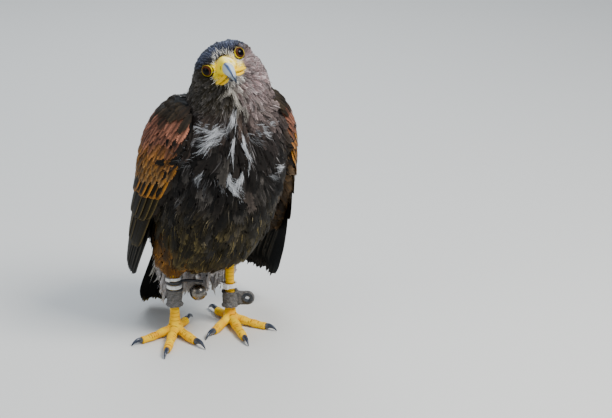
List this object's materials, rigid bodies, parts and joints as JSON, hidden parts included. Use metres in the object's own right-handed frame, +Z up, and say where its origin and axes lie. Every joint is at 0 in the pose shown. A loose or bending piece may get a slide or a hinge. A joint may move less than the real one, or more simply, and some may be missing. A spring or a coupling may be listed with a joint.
{
  "type": "harris hawk",
  "caption": "Life-size Harris's hawk standing at ease with its head cocked, wearing leather anklets, leg bands and a bell.",
  "frame": {"origin": "on the floor under the middle of the bird's whole box", "axes": "+Z up, the breast faces -Y, +X is the bird's left side"},
  "size_m": [0.2092, 0.2062, 0.3565],
  "materials": {
    "plumage": "matt dark chocolate feathers",
    "flight": "satin blackish-brown flight feathers",
    "thigh": "matt rufous feathers",
    "yellow_skin": "satin scaly yellow-orange skin",
    "cere": "satin yellow skin",
    "horn": "glossy blue-grey horn, darker on its ridge",
    "claw": "glossy blue-black horn",
    "eye": "wet dark brown eye",
    "leather": "matt grey-brown suede",
    "strap": "black leather",
    "band": "pale plastic",
    "steel": "polished metal"
  },
  "bodies": {
    "root": {"torso": "plumage", "neck": "plumage", "head": "plumage", "cere": "cere", "bill_upper": "horn", "bill_lower": "horn", "eye_left": "eye", "eye_right": "eye", "wing_left": "flight", "wing_right": "flight", "tail": "flight", "thigh_left": "thigh", "thigh_right": "thigh", "tarsus_left": "yellow_skin", "foot_left": "yellow_skin", "claw_left_hallux": "claw", "claw_left_inner": "claw", "claw_left_middle": "claw", "claw_left_outer": "claw", "tarsus_right": "yellow_skin", "foot_right": "yellow_skin", "claw_right_hallux": "claw", "claw_right_inner": "claw", "claw_right_middle": "claw", "claw_right_outer": "claw", "anklet_left": "leather", "eyelet_left": "steel", "anklet_right": "leather", "eyelet_right": "steel", "band_left": "band", "band_right": "band", "tie_right": "band", "bell_strap_right": "strap", "bell_right": "steel"}
  },
  "joints": []
}
